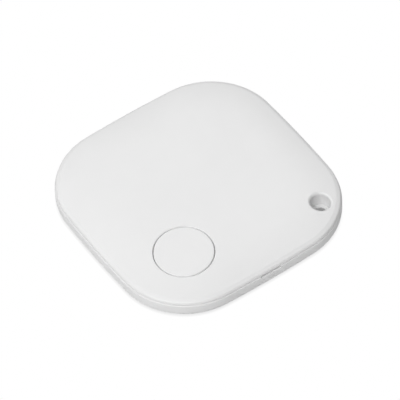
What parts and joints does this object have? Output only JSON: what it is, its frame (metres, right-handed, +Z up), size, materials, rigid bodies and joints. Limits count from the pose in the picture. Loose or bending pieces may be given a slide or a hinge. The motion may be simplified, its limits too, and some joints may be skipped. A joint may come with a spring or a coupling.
{
  "type": "bluetooth tracker tag",
  "caption": "Thin white rounded-square wireless tracker tag with a domed clip-on cover, a round push button, a lanyard hole in one corner, a pry slot and a replaceable coin cell.",
  "frame": {"origin": "centre of the flat underside", "axes": "+Z up through the domed top, +X along the side with the pry slot and towards the lanyard hole's corner, -Y out of the side with the pry slot"},
  "size_m": [0.043, 0.043, 0.0044],
  "materials": {
    "white_plastic": "satin",
    "grey_silicone": "matte",
    "black_foam": "matte",
    "tape": "matte",
    "brass_sheet": "satin",
    "piezo_ceramic": "matte",
    "cell_steel": "satin",
    "spring_nickel": "satin",
    "spring_gold": "gloss",
    "board_laminate": "satin",
    "black_epoxy": "matte",
    "chip_brown": "matte",
    "chip_white": "matte",
    "ferrite": "matte",
    "switch_plastic": "matte",
    "cathode_mix": "matte",
    "lithium": "satin",
    "separator_film": "matte"
  },
  "bodies": {
    "tray": {"bottom_shell": "white_plastic", "seal_ring": "grey_silicone", "circuit_board": "board_laminate", "negative_contact": "spring_nickel", "positive_contact": "spring_nickel", "sounder_spring_rim": "spring_gold", "sounder_spring_centre": "spring_gold", "switch_base": "switch_plastic", "switch_dome": "spring_nickel", "switch_cover": "spring_nickel", "radio_chip": "black_epoxy", "main_crystal": "spring_nickel", "clock_crystal": "spring_nickel", "antenna_chip": "chip_white", "boost_inductor": "ferrite", "driver_transistor": "black_epoxy", "boost_diode": "black_epoxy", "storage_capacitor": "chip_brown", "matching_inductor": "chip_white", "matching_capacitor_1": "chip_brown", "matching_capacitor_2": "chip_brown", "supply_capacitor_1": "chip_brown", "supply_capacitor_2": "chip_brown", "crystal_capacitor": "chip_brown", "button_resistor": "black_epoxy", "gate_resistor": "black_epoxy"},
    "cover": {"top_shell": "white_plastic", "cell_pad": "black_foam", "sounder_adhesive": "tape", "sounder_disc": "brass_sheet", "sounder_ceramic": "piezo_ceramic"},
    "button": {"button_cap": "white_plastic"},
    "plunger": {"switch_plunger": "white_plastic"},
    "cell": {"cell_can": "cell_steel", "cell_cap": "cell_steel", "cell_gasket": "black_epoxy", "cell_anode": "lithium", "cell_separator": "separator_film", "cell_cathode": "cathode_mix"}
  },
  "joints": [
    {"name": "cover_lift", "type": "slide", "parent": "tray", "child": "cover", "axis": [0, 0, 1], "range_m": [0, 0.03]},
    {"name": "button_press", "type": "slide", "parent": "cover", "child": "button", "axis": [0, 0, -1], "range_m": [0, 0.0002], "stiffness_N_per_m": 60},
    {"name": "plunger_press", "type": "slide", "parent": "tray", "child": "plunger", "axis": [0, 0, -1], "range_m": [0, 0.0002]},
    {"name": "cell_lift", "type": "slide", "parent": "tray", "child": "cell", "axis": [0, 0, 1], "range_m": [0, 0.015]}
  ],
  "couplings": [
    {"joint": "plunger_press", "follows": "button_press", "ratio": 1},
    {"joint": "cell_lift", "follows": "cover_lift", "ratio": 0.5}
  ]
}
